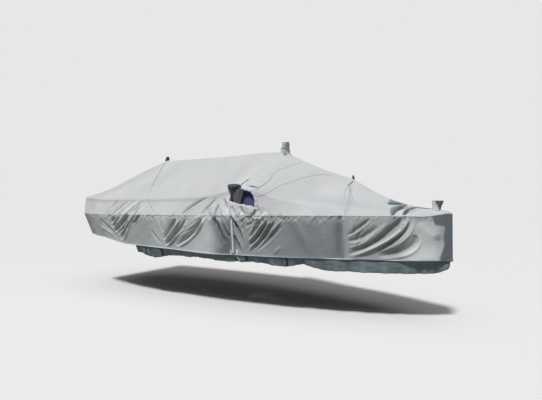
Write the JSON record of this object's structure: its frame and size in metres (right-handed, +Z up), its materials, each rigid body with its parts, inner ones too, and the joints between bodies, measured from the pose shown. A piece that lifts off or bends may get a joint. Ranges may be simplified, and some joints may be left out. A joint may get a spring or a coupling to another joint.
{
  "type": "boat cover",
  "caption": "Fitted cloth cover for a small keelboat parked with its mast up: a tent over the deck with a deep skirt, a collar at the mast and an opening at each shroud.",
  "frame": {"origin": "on the underside of the ridge, 3.98 m aft of the stem, where the boom holds the cover up", "axes": "+X to the bow, +Y to port, +Z up"},
  "size_m": [6.9523, 2.2755, 2.1087],
  "materials": {
    "canvas": "matt coated canvas, pale grey",
    "skirt_canvas": "matt coated canvas, grey",
    "band_cloth": "matt woven cloth, dark grey blue",
    "dark_cloth": "matt woven cloth, near black",
    "blue_cloth": "matt woven cloth, dark blue",
    "webbing": "woven strap, black",
    "pale_tape": "woven tape, off-white",
    "buckle": "moulded plastic, off-white"
  },
  "bodies": {
    "root": {"roof_bow": "canvas", "roof_fore": "canvas", "roof_main": "canvas", "roof_aft": "canvas", "transom_panel": "canvas", "skirt_fore_starboard": "skirt_canvas", "skirt_fore_port": "skirt_canvas", "skirt_aft_starboard": "skirt_canvas", "skirt_aft_port": "skirt_canvas", "hull_band_starboard": "band_cloth", "hull_band_port": "band_cloth", "closure_starboard": "canvas", "closure_port": "canvas", "side_strip_starboard": "pale_tape", "side_strip_port": "pale_tape", "mast_collar": "canvas", "mast_collar_tie": "webbing", "forestay_collar": "dark_cloth", "fore_tab": "webbing", "aft_tab": "webbing", "shroud_sleeve_starboard": "dark_cloth", "shroud_sleeve_port": "dark_cloth", "shroud_roll_starboard": "dark_cloth", "shroud_roll_port": "dark_cloth", "shroud_binding_starboard": "pale_tape", "shroud_binding_port": "pale_tape", "shroud_flap_starboard": "blue_cloth", "shroud_flap_port": "blue_cloth", "hanger_1_starboard": "webbing", "hanger_2_starboard": "webbing", "hanger_3_starboard": "webbing", "hanger_4_starboard": "webbing", "hanger_1_port": "webbing", "hanger_2_port": "webbing", "hanger_3_port": "webbing", "hanger_4_port": "webbing", "buckle_1_starboard": "buckle", "buckle_2_starboard": "buckle", "buckle_1_port": "buckle", "buckle_2_port": "buckle"}
  },
  "joints": []
}
